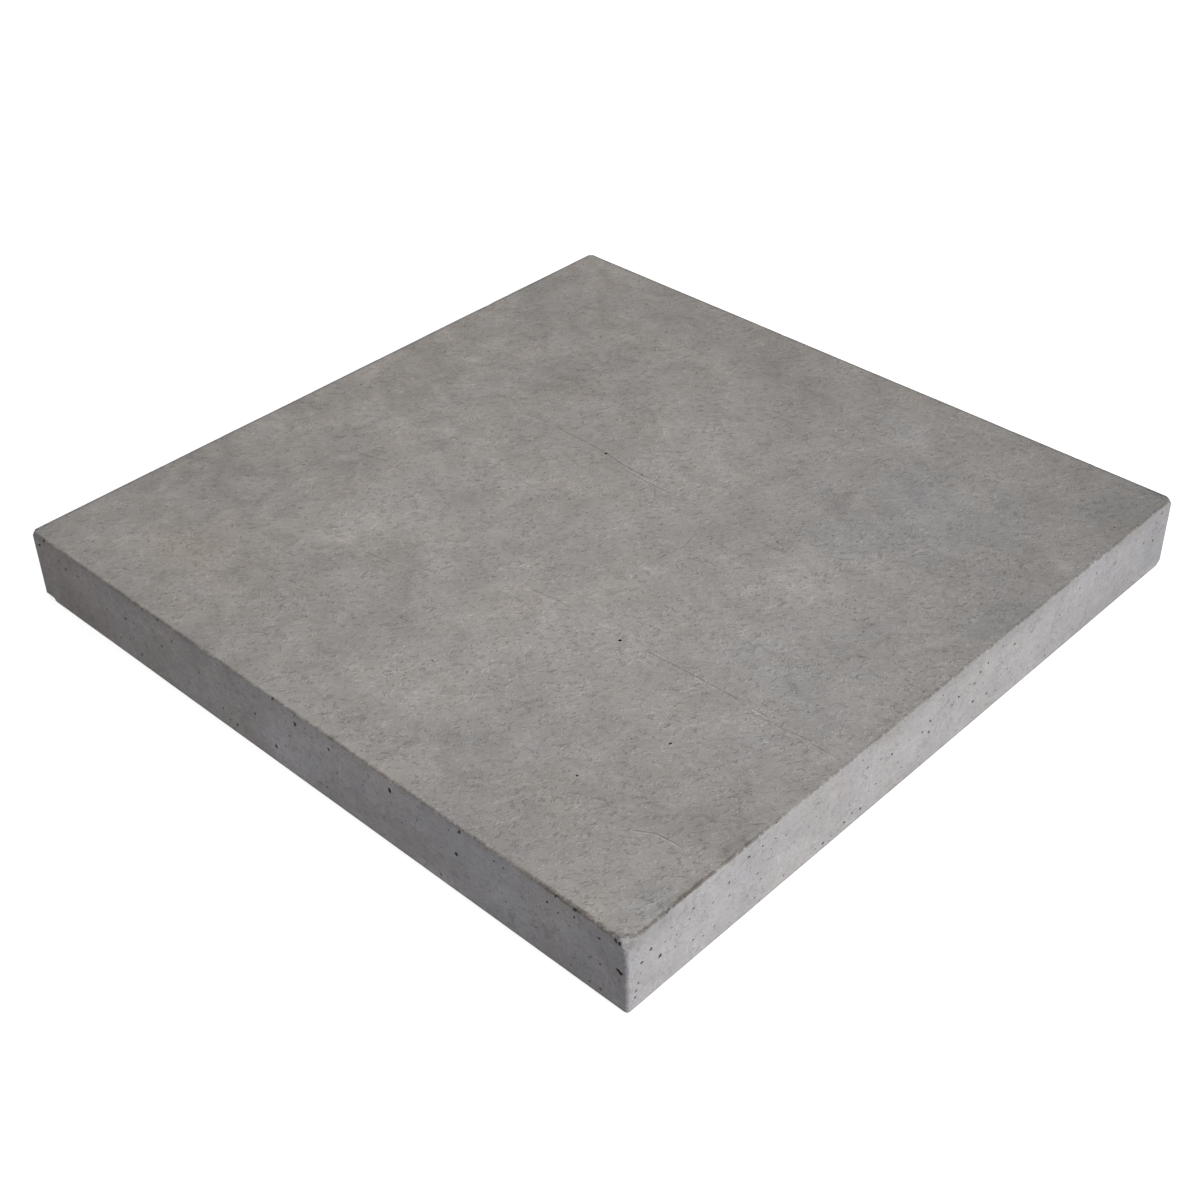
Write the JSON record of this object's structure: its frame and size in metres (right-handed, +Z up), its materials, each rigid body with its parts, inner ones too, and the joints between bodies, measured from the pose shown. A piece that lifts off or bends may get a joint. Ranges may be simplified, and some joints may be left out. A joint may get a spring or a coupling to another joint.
{
  "type": "paving slab",
  "caption": "Square grey concrete paving slab with a smooth mottled walking face, worn rounded arrises and small air pores in its sides.",
  "frame": {"origin": "middle of the bed face, which lies on the ground", "axes": "+Z up out of the walking face, +X and +Y square to two neighbouring sides"},
  "size_m": [0.5, 0.5, 0.05],
  "materials": {
    "concrete": "matte"
  },
  "bodies": {
    "root": {"slab": "concrete"}
  },
  "joints": []
}
